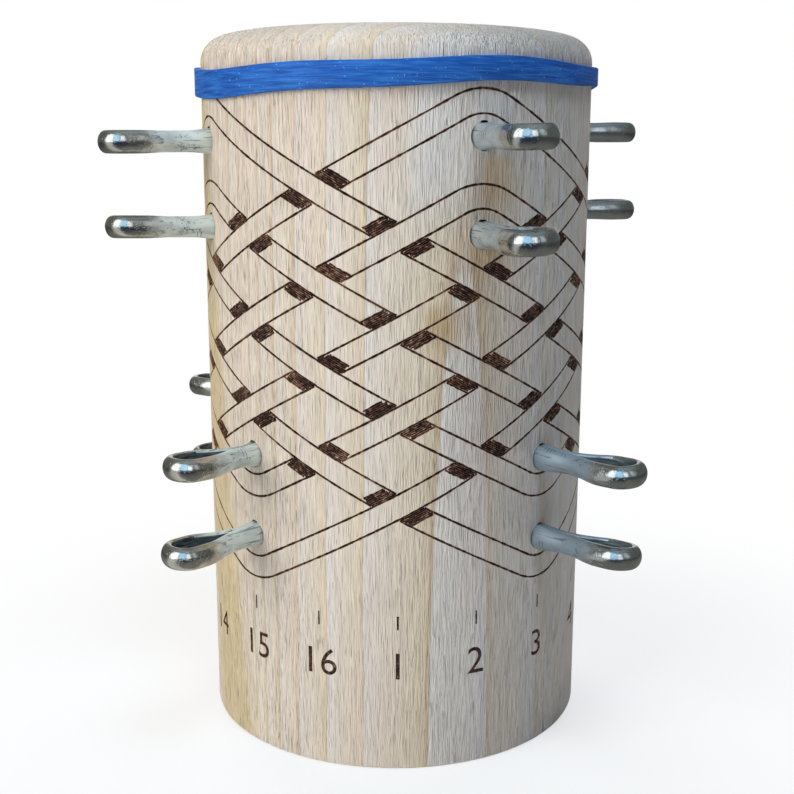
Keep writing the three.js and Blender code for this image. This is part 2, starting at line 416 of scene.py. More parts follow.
# %% Turn the blank
SIDES = 360
TOP_ROUNDING = 4.0 * MM
TOP_STEPS = 12
BASE_CHAMFER = 0.5 * MM
BASE_STEPS = 2
END_INSET = 0.3 * MM


def select_only(piece, kind, wanted):
    """In edit mode, select the edges or faces that pass a test, and nothing else."""
    bpy.ops.mesh.select_mode(type=kind)
    bpy.ops.mesh.select_all(action="DESELECT")
    bpy.ops.object.mode_set(mode="OBJECT")
    for part in piece.data.edges if kind == "EDGE" else piece.data.polygons:
        part.select = wanted(part)
    bpy.ops.object.mode_set(mode="EDIT")


def is_rim(edge, height):
    """Whether an edge of the blank is part of its rim at a height."""
    ends = [blank.data.vertices[i].co for i in edge.vertices]
    return all(abs(e.z - height) < END_INSET and e.to_2d().length > RADIUS - MM for e in ends)


bpy.ops.mesh.primitive_cylinder_add(
    vertices=SIDES, radius=RADIUS, depth=HEIGHT, location=(0, 0, HEIGHT / 2)
)
bpy.ops.object.transform_apply()
blank = bpy.context.object
blank.name = "maple_mandrel"
bpy.ops.object.mode_set(mode="EDIT")
select_only(blank, "EDGE", lambda edge: is_rim(edge, HEIGHT))
bpy.ops.mesh.bevel(offset=TOP_ROUNDING, segments=TOP_STEPS, affect="EDGES")
select_only(blank, "EDGE", lambda edge: is_rim(edge, 0))
bpy.ops.mesh.bevel(offset=BASE_CHAMFER, segments=BASE_STEPS, affect="EDGES")
for end in (-1, 1):
    select_only(blank, "FACE", lambda face: face.normal.z * end > 0.999)
    bpy.ops.mesh.inset(thickness=END_INSET)
bpy.ops.object.mode_set(mode="OBJECT")
print("blank has", len(blank.data.polygons), "faces")

# %% [markdown]
# ## The blind holes
# Each hole was bored with a twist drill, so it ends in a shallow cone. One drill is made from a
# cylinder whose inner face is extruded and merged to a point, and copied to each pin's place.
# The pins' legs have chipped the upper lip of each hole, so an ellipsoid takes a nick out there.
# The nick is coloured near black, as painted shade in the gap.

# %% Make the drills and the nicks
HOLE_RADIUS = 2.05 * MM
HOLE_DEPTH = 23.8 * MM
DRILL_SIDES = 48
DRILL_TIP = HOLE_RADIUS / math.tan(math.radians(118 / 2))
OVERRUN = 2 * MM
NICK = (1.1 * MM, 0.62 * MM, 0.20 * MM)
NICK_SIDES = 16


def join(pieces, name):
    """Several pieces made one."""
    only(pieces[0])
    for piece in pieces:
        piece.select_set(True)
    bpy.ops.object.join()
    bpy.context.object.name = name
    return bpy.context.object


def copy_of(piece, name, matrix):
    """A copy with its own mesh, put in its place."""
    copied = piece.copy()
    copied.data = piece.data.copy()
    copied.name = name
    copied.data.name = name
    bpy.context.scene.collection.objects.link(copied)
    copied.data.transform(matrix)
    return copied


def at_each_hole(cutter, name):
    """A cutter copied to all the holes, as one piece."""
    copies = [copy_of(cutter, name, place) for place in hole_places.values()]
    bpy.data.objects.remove(cutter)
    return join(copies, name)


def carve(piece, cutter):
    """Take the cutter's shape out of the piece. The cut faces keep the cutter's finish."""
    only(piece)
    cut = piece.modifiers.new("carve", "BOOLEAN")
    cut.operation = "DIFFERENCE"
    cut.object = cutter
    cut.solver = "MANIFOLD"
    cut.material_mode = "TRANSFER"
    bpy.ops.object.modifier_apply(modifier=cut.name)
    bpy.data.objects.remove(cutter)


bpy.ops.mesh.primitive_cylinder_add(
    vertices=DRILL_SIDES, radius=HOLE_RADIUS, depth=HOLE_DEPTH + OVERRUN,
    rotation=(0, math.pi / 2, 0),
)
bpy.ops.object.transform_apply()
drill = bpy.context.object
bpy.ops.object.mode_set(mode="EDIT")
select_only(drill, "FACE", lambda face: face.normal.x < -0.9)
bpy.ops.mesh.extrude_region_move(TRANSFORM_OT_translate={"value": (-DRILL_TIP, 0, 0)})
bpy.ops.mesh.merge(type="CENTER")
bpy.ops.mesh.select_all(action="SELECT")
bpy.ops.transform.translate(value=(RADIUS + (OVERRUN - HOLE_DEPTH) / 2, 0, 0))
bpy.ops.object.mode_set(mode="OBJECT")
drills = at_each_hole(drill, "drills")

bpy.ops.mesh.primitive_uv_sphere_add(
    segments=NICK_SIDES, ring_count=NICK_SIDES // 2, radius=1,
    location=(RADIUS, 0, HOLE_RADIUS), scale=NICK,
)
bpy.ops.object.transform_apply()
nicks = at_each_hole(bpy.context.object, "nicks")
print("drills and nicks for", len(hole_places), "holes are ready")

# %% [markdown]
# ## Maple
# The blank was sawn so that the growth rings lie almost flat behind its right front. A ring is
# a thin brown line with pale new wood outside it, which darkens slowly up to the next line. So
# one value, the depth of a point through the rings, colours the whole block, with no seam:
# upright lines on the sides, a tall arch where a ring only just grazes the surface, and curved
# bands across the sawn ends. The top of the right front is painted paler and bluer as painted
# cool light, the right front greyer as painted shade, and the wood below the two pins at the
# right front is painted tan as the pins' painted shadows.

# %% Mix the maple
RING_TURN = math.radians(17.5)
RING_PITCH = 3.2
RING_COLOURS = [
    (0.0, paint(221, 214, 206)),
    (0.35, paint(221, 209, 194)),
    (0.86, paint(219, 204, 180)),
    (0.955, paint(214, 198, 170)),
    (0.978, paint(203, 179, 150)),
    (0.992, paint(208, 193, 174)),
    (1.0, paint(219, 211, 202)),
]
SLOW_GROWTH_FROM = 22.2
SLOW_GROWTH = 0.013
ARCH_TOP = 76.0
ARCH_DEPTH = 0.25
ARCH_LEAN = 0.0085
ARCH_BEND = 0.00005
# Painted cool light at the top of the right front
TOP_LIT_WOOD = paint(220, 215, 210)
WARM_WOOD = paint(221, 209, 191)
LATE_WOOD = paint(201, 176, 144)
# Painted cool shade on the right front
SHADED_WOOD = paint(213, 206, 201)
PATCHY_WOOD = paint(224, 205, 190)
TAN_SIDE_WOOD = paint(206, 186, 142)
VESSEL = paint(146, 120, 104)
PIN_SHADOW_TAN = paint(190, 162, 122)
# Turn round the mandrel, low end and high end, of each painted shadow below the right front pins
PIN_SHADOWS = [(27, 84, 96), (25, 75, 84), (12, 64, 74)]
PIN_SHADOW_SPREAD = (5.4, 0.6)
# Waves in a millimetre: the wood is stretched along its length
WANDER = (1 / 14, 1 / 14, 1 / 70)
SHIVER = (1 / 2.4, 1 / 2.4, 1 / 20)
PATCHES = (1 / 7, 1 / 7, 1 / 40)
FIBRES = (4.2, 4.2, 0.26)
COARSE_FIBRES = (1.3, 1.3, 0.12)
VESSELS = (6.0, 6.0, 0.35)
GRAIN_DEPTH = 0.70 * MM


def growth_rings(sheet, x, y, z):
    """How deep a point lies through the rings, and how far it is on in its own ring."""
    wander = (sheet.noise(sheet.place(WANDER), 1) - 0.5) * 0.7
    shiver = (sheet.noise(sheet.place(SHIVER), 1) - 0.5) * 0.25
    below = ARCH_TOP - z
    lean = ARCH_DEPTH + below * (ARCH_LEAN - below * ARCH_BEND)
    depth = x * math.sin(RING_TURN) - y * math.cos(RING_TURN) + lean
    slow = (SLOW_GROWTH_FROM - depth).maths("MAXIMUM", 0).maths("MINIMUM", 10)
    uneven = (wander + shiver) * (0.08 + depth.step(31.6, 28))
    ring = ((depth + uneven) / RING_PITCH - slow * slow * SLOW_GROWTH).maths("FRACT")
    return depth, ring


def maple():
    sheet = new_finish("maple")
    x, y, z = sheet.parts(sheet.place())
    depth, ring = growth_rings(sheet, x, y, z)

    # Painted cool light from above: the top of the right front is paler and bluer.
    painted_top_light = depth.step(30.2, 31.2) * z.step(78, 94)
    late_growth = ring.step(0.74, 0.97) * depth.step(27, 19)
    # Painted cool shade: greyer wood at the right front.
    shaded_right_front = x.step(10, 16) * y.step(-4, -12)
    growth = sheet.mix(painted_top_light * 0.85, ring.ramp(RING_COLOURS), TOP_LIT_WOOD)
    growth = sheet.mix(depth.step(29, 20) * 0.4, growth, WARM_WOOD)
    growth = sheet.mix(late_growth * 0.55, growth, LATE_WOOD)
    growth = sheet.mix(shaded_right_front * 0.4, growth, SHADED_WOOD)
    patchy = sheet.noise(sheet.place(PATCHES, (7, 3, 1)), 2)
    tinted = sheet.mix(patchy.step(0.45, 0.62) * 0.38, growth, PATCHY_WOOD)
    # Tan wood down both sides, strongest at the left.
    tilted_depth = depth + (z - 45) * 0.13
    tan_sides = tilted_depth.step(10.5, 6.0) * tilted_depth.step(-6, -1) * (0.45 + x.step(10, -20) * 0.55)
    toned = sheet.mix(tan_sides * 0.8, tinted, TAN_SIDE_WOOD)

    fibre = sheet.noise(sheet.place(FIBRES), 2, 0.65)
    coarse = sheet.noise(sheet.place(COARSE_FIBRES, (2, 5, 0)), 2, 0.6)
    contrast = x.step(-4, -18) * 0.3 + 0.42
    tone = (fibre - 0.5) * contrast + (coarse - 0.5) * 0.30 + 1
    grey = sheet.node("ShaderNodeCombineColor", {0: tone, 1: tone, 2: tone})
    shaded = sheet.mix(1.0, toned, grey, "MULTIPLY")
    vessels = sheet.noise(sheet.place(VESSELS, (0, 4, 9)), 1, 0.5).step(0.60, 0.80)
    flecked = sheet.mix(vessels * 0.14, shaded, VESSEL)

    # Painted shadows of the pins: tan patches on the wood below the pins at the right front.
    shadow_mask = 0
    for turn, low, high in PIN_SHADOWS:
        turn = math.radians(turn)
        beside = x * math.cos(turn) + y * math.sin(turn) + (coarse - 0.5) * 6
        beside = beside.maths("ABSOLUTE").step(*PIN_SHADOW_SPREAD)
        shadow_mask = beside * z.step(low, low + 5) * z.step(high, high - 3) + shadow_mask
    pin_shadowed = sheet.mix(shadow_mask * y.step(-18, -22) * 0.75, flecked, PIN_SHADOW_TAN)

    right_side = x.step(-2, 16) * y.step(0, -8)
    rough = right_side * 0.7 + x.step(-8, -20) * 0.4 + 0.46
    relief = (fibre * 0.7 + coarse * 0.6 - vessels * 0.4) * rough
    return sheet.finish(
        Base_Color=pin_shadowed,
        Roughness=0.62 + (fibre - 0.5) * 0.2,
        Normal=sheet.bump(relief, GRAIN_DEPTH),
        Specular_IOR_Level=0.35,
    )


maple_finish = maple()
print("maple mixed with", len(maple_finish.node_tree.nodes), "nodes")

# %% [markdown]
# ## Scorched maple
# A laser leaves wood red brown at the lip of a groove and near black at its floor, so the colour
# follows a point's depth below the mandrel's round surface. Noise adds pulses and grey ash. The
# same finish colours the nicks at the holes' lips near black, as painted shade in the gap.

# %% Scorch the maple, and bore it
SCORCH_DEPTH = 0.20
SCORCH_COLOURS = [
    (0.0, paint(150, 116, 92)),
    (0.25, paint(98, 70, 56)),
    (0.6, paint(56, 38, 33)),
    (1.0, paint(30, 21, 21)),
]
ASH = paint(98, 96, 108)


def scorch_and_shade_maple():
    sheet = new_finish("scorch_and_shade_maple")
    x, y, _ = sheet.parts(sheet.place())
    depth = RADIUS / MM - (x * x + y * y) ** 0.5
    speckle = sheet.noise(sheet.place((5, 5, 5)), 2, 0.6)
    pulse = sheet.noise(sheet.place((2.3, 2.3, 2.3), (1, 7, 2)), 1)
    cloud = sheet.noise(sheet.place((0.12, 0.12, 0.12)), 0)
    faint = sheet.noise(sheet.place((0.2, 0.2, 0.2), (9, 2, 5)), 1).step(0.52, 0.66)
    burnt = depth + (speckle - 0.5) * 0.14 + (pulse - 0.5) * 0.30 - faint * 0.05
    colour = (burnt / SCORCH_DEPTH).ramp(SCORCH_COLOURS)
    ashy = speckle.step(0.60, 0.72) * cloud.step(0.50, 0.60)
    sooty = sheet.mix(ashy * 0.7, colour, ASH)
    return sheet.finish(Base_Color=sooty, Roughness=0.9, Specular_IOR_Level=0.2)


scorch_and_shade_finish = scorch_and_shade_maple()
blank.data.materials.append(maple_finish)
drills.data.materials.append(maple_finish)
carve(blank, drills)
# The nicks take this finish, near black at their depth: painted shade in the gap at each lip.
nicks.data.materials.append(scorch_and_shade_finish)
carve(blank, nicks)
print("mandrel bored:", len(blank.data.polygons), "faces")

# %% [markdown]
# ## The path of the knot
# The diagram shows the cord laid out flat round the mandrel, on sixteen columns and on level
# steps. Where two strips cross, it shows which one lies on top: an odd column's upper strip
# falls to the right and an even column's rises, which is the over-one, under-one order of a
# woven knot. Walking both ways from each crossing, and turning back at each pin, gives every
# strip that shows.

# %% Walk the strips
COLUMNS = 16
COLUMN_STEP = 2 * math.pi * RADIUS / MM / COLUMNS
LEVEL_STEP = 6.677
TOP_LEVEL = 89.44
CROSSINGS = {0: (1, 3, 5, 7), 1: (2, 4, 6), 2: (1, 3, 5), 3: (0, 2, 4, 6)}
TURNS_AT_PINS = {1: (-2, 0), 2: (7, 9)}


def spot(column, level):
    """Where a column and a level meet, in millimetres round and up the mandrel."""
    return Vector((column * COLUMN_STEP, TOP_LEVEL - level * LEVEL_STEP))


def upper_slope(column):
    """Levels that the upper strip of a column falls for each column to the right."""
    return 1 if column % 2 else -1


def walk(column, level, step):
    """The turns of a strip from the crossing where it lies on top to the one where it dives."""
    fall = upper_slope(column) * step
    found = []
    while True:
        column += step
        level += fall
        if level in CROSSINGS[column % 4]:
            return found + [(column, level)]
        if level in TURNS_AT_PINS.get(column % 4, ()):
            found.append((column, level))
            fall = -fall


strips = []
for column in range(COLUMNS):
    for level in CROSSINGS[column % 4]:
        strips.append(walk(column, level, -1)[::-1] + walk(column, level, 1))
print(len(strips), "strips show,", sum(len(strip) > 2 for strip in strips), "turn at a pin")

# %% [markdown]
# ## Lines on the unrolled surface
# Each strip is drawn as its two edges. An edge keeps half a width from the middle line, goes
# round a pin on an arc that is wider outside than inside, and stops just short of the strip that
# it dives under. Before it dives, the strip is shaded with close lines along that strip's edge.

# %% Work out the edges and the shading
HALF_WIDTH = 1.75
TURN_RADIUS = 7.45
EDGE_STEP = 0.5
EDGE_END_GAP = 0.26
SHADE_LINES = 6
SHADE_START = 0.28
SHADE_PITCH = 0.30
SHADE_STEP = 0.45
SHADE_MARGIN = 0.06
SHADE_RAGGED = 0.08
SHADE_SLIP = 0.05
rng = random.Random(56)


def left_of(direction):
    return Vector((-direction.y, direction.x))


def dive_point(crossing, direction, offset, gap):
    """Where a line beside a strip's middle meets the upper strip's edge, less a gap."""
    column, level = crossing
    upper = Vector((COLUMN_STEP, -upper_slope(column) * LEVEL_STEP)).normalized()
    facing = left_of(upper)
    if facing.dot(direction) < 0:
        facing = -facing
    start = spot(column, level) + left_of(direction) * offset
    reach = -(HALF_WIDTH + gap) - offset * left_of(direction).dot(facing)
    return start + direction * (reach / direction.dot(facing))


def straight(start, end, step):
    """Points from start to end, both included."""
    count = max(1, math.ceil((end - start).length / step))
    return [start.lerp(end, i / count) for i in range(count + 1)]


def arc_at_pin(apex, before, after, offset):
    """The bend of a line at a pin, from the direction before it to the one after."""
    bend = 1 if before.cross(after) < 0 else -1
    first, last = left_of(before), left_of(after)
    middle = (first + last).normalized()
    centre = apex - middle * (bend * TURN_RADIUS / first.dot(middle))
    sweep = first.angle_signed(last)
    radius = TURN_RADIUS * bend + offset
    count = math.ceil(abs(sweep * radius) / EDGE_STEP)
    arms = [Matrix.Rotation(-sweep * i / count, 2) @ first for i in range(count + 1)]
    return [centre + arm * radius for arm in arms]


def edge_line(strip, offset):
    """One edge of a strip, from where it comes out to where it dives."""
    corners = [spot(*place) for place in strip]
    headings = [(b - a).normalized() for a, b in zip(corners, corners[1:])]
    line = [dive_point(strip[0], -headings[0], -offset, EDGE_END_GAP)]
    for corner, before, after in zip(corners[1:], headings, headings[1:]):
        bend = arc_at_pin(corner, before, after, offset)
        line = line[:-1] + straight(line[-1], bend[0], EDGE_STEP) + bend[1:]
    end = dive_point(strip[-1], headings[-1], offset, EDGE_END_GAP)
    return line[:-1] + straight(line[-1], end, EDGE_STEP)


def shade_lines(strip):
    """The close lines at both ends of a strip."""
    corners = [spot(*place) for place in strip]
    headings = ((corners[0] - corners[1]).normalized(), (corners[-1] - corners[-2]).normalized())
    found = []
    for crossing, heading in zip((strip[0], strip[-1]), headings):
        for i in range(SHADE_LINES):
            gap = SHADE_START + SHADE_PITCH * i
            ends = []
            for side in (-1, 1):
                offset = side * (HALF_WIDTH - SHADE_MARGIN - rng.uniform(0, SHADE_RAGGED * i))
                ends.append(dive_point(crossing, heading, offset, gap))
            line = straight(*ends, SHADE_STEP)
            found.append([p + heading * rng.uniform(-SHADE_SLIP, SHADE_SLIP) for p in line])
    return found


edges = [edge_line(strip, side * HALF_WIDTH) for strip in strips for side in (-1, 1)]
shading = [line for strip in strips for line in shade_lines(strip)]
print(len(edges), "edge lines and", len(shading), "shading lines")

# %% [markdown]
# ## Burning the lines in
# A laser leaves a narrow groove with sloping walls, a little wider where it lingered. So each
# line becomes a curve bent round the mandrel, with a four sided bevel that stands on its corner:
# half of it lies in the wood and cuts a V. The points' radii wander, as the burn does. Lines that
# lie side by side go into different cutters, because a cutter shouldn't overlap itself. The
# holes at the back come a little late and high, so the pattern is eased along to them.

# %% Burn the knot
EDGE_GROOVE = 0.18 * MM
EDGE_UNEVEN = 0.24
SHADE_GROOVE = 0.195 * MM
SHADE_UNEVEN = 0.36
BACK_RISE = 1.3
BACK_LATE = 0.2
WELD = 0.002 * MM


def between(knots, place, eased=False):
    """A value read off knots of (place, value), along straight lines or eased ones."""
    for (a, low), (b, high) in zip(knots, knots[1:]):
        if place <= b:
            share = (place - a) / (b - a)
            return low + (high - low) * (share * share * (3 - 2 * share) if eased else share)


def columns_late(matrix):
    """A hole's column, and by how much of a column it comes late."""
    out = matrix.to_3x3() @ Vector((1, 0, 0))
    turned = math.atan2(out.x, -out.y) / math.tau * COLUMNS % COLUMNS
    column = math.floor(turned + 0.01)
    return column, turned - column


late = sorted({columns_late(matrix) for matrix in hole_places.values()})
late = [(late[-1][0] - COLUMNS, 0.0), *late, (late[0][0] + COLUMNS, 0.0)]


def on_mandrel(around, height, depth=0.0):
    """A point of the unrolled surface in its place on the mandrel, in metres."""
    column = around / COLUMN_STEP
    lateness = between(late, column % COLUMNS, eased=True)
    turn = (column + lateness) * math.tau / COLUMNS
    rise = BACK_RISE * min(1, lateness / BACK_LATE)
    reach = RADIUS - depth
    return Vector((reach * math.sin(turn), -reach * math.cos(turn), (height + rise) * MM))


def in_scene(name, data):
    """A new object in the scene."""
    made = bpy.data.objects.new(name, data)
    bpy.context.scene.collection.objects.link(made)
    return made


def as_mesh(piece):
    """A curve or a text made a mesh."""
    only(piece)
    bpy.ops.object.convert(target="MESH")
    return bpy.context.object


def weld(piece):
    """Merge points that lie on each other, and turn every face outwards."""
    only(piece)
    bpy.ops.object.mode_set(mode="EDIT")
    bpy.ops.mesh.select_all(action="SELECT")
    bpy.ops.mesh.remove_doubles(threshold=WELD)
    bpy.ops.mesh.normals_make_consistent(inside=False)
    bpy.ops.object.mode_set(mode="OBJECT")


def burning(name, lines, groove, uneven):
    """A cutter made of one V groove for each line."""
    curve = bpy.data.curves.new(name, "CURVE")
    curve.dimensions = "3D"
    curve.twist_mode = "Z_UP"
    curve.bevel_depth = groove
    curve.bevel_resolution = 0
    curve.use_fill_caps = True
    for line in lines:
        spline = curve.splines.new("POLY")
        spline.points.add(len(line) - 1)
        for point, (around, height) in zip(spline.points, line):
            point.co = (*on_mandrel(around, height), 1)
            point.radius = 1 + rng.uniform(-uneven, uneven)
    curve.materials.append(scorch_and_shade_finish)
    cutter = as_mesh(in_scene(name, curve))
    weld(cutter)
    return cutter


carve(blank, burning("edge_lines", edges, EDGE_GROOVE, EDGE_UNEVEN))
carve(blank, burning("shading_even", shading[::2], SHADE_GROOVE, SHADE_UNEVEN))
carve(blank, burning("shading_odd", shading[1::2], SHADE_GROOVE, SHADE_UNEVEN))
print("mandrel engraved:", len(blank.data.polygons), "faces")

# %% [markdown]
# ## The column numbers
# Below the knot the wood carries plain numbers, one under each column, with a short tick above
# each. They are drawn as text, given a thickness, made a mesh and bent round the mandrel, so
# that they cut a shallow flat-floored recess.

# %% Engrave the numbers
NUMBER_HEIGHT = 17.0
NUMBER_SIZE = 6.2 * MM
NUMBER_DEPTH = 0.10 * MM
NUMBER_CURVE_STEPS = 4
TICK_FROM = 23.2
TICK_TO = 25.4
TICK_UNEVEN = 0.16


def smooth(piece, angle):
    """Shade a piece smooth, but for edges sharper than an angle in degrees."""
    only(piece)
    bpy.ops.object.shade_smooth_by_angle(angle=math.radians(angle))


def number_cutter(column):
    """One number, standing in the mandrel's surface under its column."""
    bpy.ops.object.text_add()
    text = bpy.context.object
    text.data.body = str(column + 1)
    text.data.size = NUMBER_SIZE
    text.data.align_x = text.data.align_y = "CENTER"
    text.data.extrude = 2 * NUMBER_DEPTH
    text.data.resolution_u = NUMBER_CURVE_STEPS
    text.data.materials.append(scorch_and_shade_finish)
    text = as_mesh(text)
    for point in text.data.vertices:
        depth = NUMBER_DEPTH if point.co.z < 0 else -NUMBER_DEPTH
        around = column * COLUMN_STEP + point.co.x / MM
        point.co = on_mandrel(around, NUMBER_HEIGHT + point.co.y / MM, depth)
    return text


digits = join([number_cutter(column) for column in range(COLUMNS)], "numbers")
weld(digits)
carve(blank, digits)
feet = [column * COLUMN_STEP for column in range(COLUMNS)]
ticks = [straight(Vector((foot, TICK_FROM)), Vector((foot, TICK_TO)), EDGE_STEP) for foot in feet]
carve(blank, burning("ticks", ticks, EDGE_GROOVE, TICK_UNEVEN))
smooth(blank, 30)
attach(blank, "mandrel")
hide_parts("mandrel")
blank.data.calc_loop_triangles()
print("mandrel finished:", len(blank.data.loop_triangles), "triangles")

# %% [markdown]
# ## The split pin
# A split pin is one length of half-round wire folded back on itself: the flats meet in the
# shank, and the fold opens into an eye. It is modelled as it is made. A flat curve follows the
# wire, a half-round profile is swept along it, and a wedge takes the corner off the long leg's
# end, as on the real pin, so that it finds its hole. The bend draws the wire thinner, so the
# height of its section then changes along the pin.

# %% Bend the wire
SHANK = 3.7
LEG_GAP = 0.10
WIRE_DEPTH = 1.72
WIRE_CORNER = 0.42
# Height below the flat's edge, and depth behind the flat, of points that round its corner
CORNER_POINTS = [(WIRE_CORNER, 0), (0.16, 0.10), (0.04, 0.24)]
ARC_POINTS = 19
WIRE_STEPS = 12
SHORT_LEG = 20.4
LONG_LEG = 22.0
LEG_BEVEL = math.radians(40)
NECK_START = RADIUS / MM + 3.4
NECK_END = NECK_START + 8.5
NECK_LEAVES = 0.5
NECK_ARRIVES = 0.35
EYE_CENTRE = NECK_END + 1.7
EYE_SIDE = 2.15
EYE_END = 1.88
PIN_TIP = EYE_CENTRE + EYE_END + WIRE_DEPTH
TIP_SPARE = 0.04
ARC_HANDLE = 0.5523
# Distance out from the wood, and the height of the wire there
HEIGHT_ALONG = [(-99, 3.85), (0, 3.95), (3, 3.3), (8, 3.25), (11, 3.48), (99, 3.48)]


def half_round():
    """The section of the wire: its flat on the curve, its round side outwards."""
    profile = bpy.data.curves.new("half_round", "CURVE")
    profile.dimensions = "2D"
    half = SHANK / 2
    corner = [(half - below, behind) for below, behind in CORNER_POINTS]
    bulge = WIRE_DEPTH - WIRE_CORNER
    points = list(corner)
    for i in range(ARC_POINTS):
        angle = math.pi * i / (ARC_POINTS - 1)
        points.append((half * math.cos(angle), WIRE_CORNER + bulge * math.sin(angle)))
    points += [(-height, behind) for height, behind in corner[::-1]]
    spline = profile.splines.new("POLY")
    spline.points.add(len(points) - 1)
    spline.use_cyclic_u = True
    for point, (height, behind) in zip(spline.points, points):
        point.co = (behind * MM, height * MM, 0, 1)
    return in_scene("half_round", profile)


def wire_anchors():
    """Each anchor of the wire's line with the handles before and after it."""
    leg, side = LEG_GAP / 2, EYE_SIDE
    surface = RADIUS / MM
    long_end = surface - LONG_LEG
    short_end = surface - SHORT_LEG
    neck = NECK_END - NECK_START
    tip = EYE_CENTRE + EYE_END
    half = [
        ((long_end, -leg), (long_end - 1, -leg), (surface - LONG_LEG / 2, -leg)),
        ((NECK_START, -leg), (surface, -leg), (NECK_START + NECK_LEAVES * neck, -leg)),
        ((NECK_END, -side), (NECK_END - NECK_ARRIVES * neck, -side), (NECK_END + 1, -side)),
        ((EYE_CENTRE, -side), (EYE_CENTRE - 1, -side), (EYE_CENTRE + ARC_HANDLE * EYE_END, -side)),
    ]
    bend = ((tip, 0), (tip, -ARC_HANDLE * side), (tip, ARC_HANDLE * side))
    back = [
        tuple((x, -y) for x, y in (anchor, after, before)) for anchor, before, after in half[::-1]
    ]
    back[-1] = ((short_end, leg), (surface - SHORT_LEG / 2, leg), (short_end - 1, leg))
    return half + [bend] + back


def split_pin():
    """One pin that points along X, with the mandrel's middle at the origin."""
    curve = bpy.data.curves.new("split_pin", "CURVE")
    curve.dimensions = "3D"
    curve.twist_mode = "Z_UP"
    curve.resolution_u = WIRE_STEPS
    curve.bevel_mode = "OBJECT"
    curve.bevel_object = half_round()
    curve.use_fill_caps = True
    anchors = wire_anchors()
    spline = curve.splines.new("BEZIER")
    spline.bezier_points.add(len(anchors) - 1)
    for point, (anchor, before, after) in zip(spline.bezier_points, anchors):
        point.handle_left_type = point.handle_right_type = "FREE"
        point.co = (anchor[0] * MM, anchor[1] * MM, 0)
        point.handle_left = (before[0] * MM, before[1] * MM, 0)
        point.handle_right = (after[0] * MM, after[1] * MM, 0)
    pin = as_mesh(in_scene("split_pin", curve))
    weld(pin)
    bpy.data.objects.remove(curve.bevel_object)
    return pin


def leg_wedge():
    """The wood-side corner of the long leg, as a block to be cut away."""
    slant = Vector((math.cos(LEG_BEVEL), math.sin(LEG_BEVEL), 0))
    corner = Vector((RADIUS / MM - LONG_LEG, -LEG_GAP / 2, 0))
    middle = (corner - slant * SHANK) * MM
    bpy.ops.mesh.primitive_cube_add(
        size=2 * SHANK * MM, location=middle, rotation=(0, 0, LEG_BEVEL)
    )
    bpy.ops.object.transform_apply()
    return bpy.context.object


pin = split_pin()
for point in pin.data.vertices:
    point.co.z *= between(HEIGHT_ALONG, (point.co.x - RADIUS) / MM) / SHANK
print("pin has", len(pin.data.polygons), "faces, and its tip is at", round(PIN_TIP, 2), "mm")

# %% [markdown]
# ## Zinc on steel
# The wire is zinc plated: bright on the eye, which hands polish, and dull, pale, scratched and
# bitten by pliers on the shank, which is dragged in and out of the hole. The distance from the
# mandrel's middle tells the two apart, so one finish serves all sixteen pins. The pins towards
# the right are painted darker and bluer, as painted shade, and the left ones paler, as painted
# light. Only the flat inside the eye has a second one, a dark slate that is painted shade.

# %% Plate the wire
DULL_LIT_LEFT = paint(226, 233, 222)
DULL_SHADED_RIGHT = paint(140, 157, 169)
SMEARED = paint(120, 130, 136)
BRIGHT = paint(196, 195, 186)
CLOUDED = paint(172, 171, 164)
BRIGHT_SHADED_RIGHT = paint(160, 168, 172)
BARE_STEEL = paint(58, 62, 66)
# Painted shade inside the eye
DARK_EYE_SHADE = paint(58, 68, 72)
PALE_EYE_SHADE = paint(104, 116, 120)
EYE_POLISH = (39.4, 43.2)
TOOTH_WAVE = 11
DENT_DEPTH = 0.08 * MM


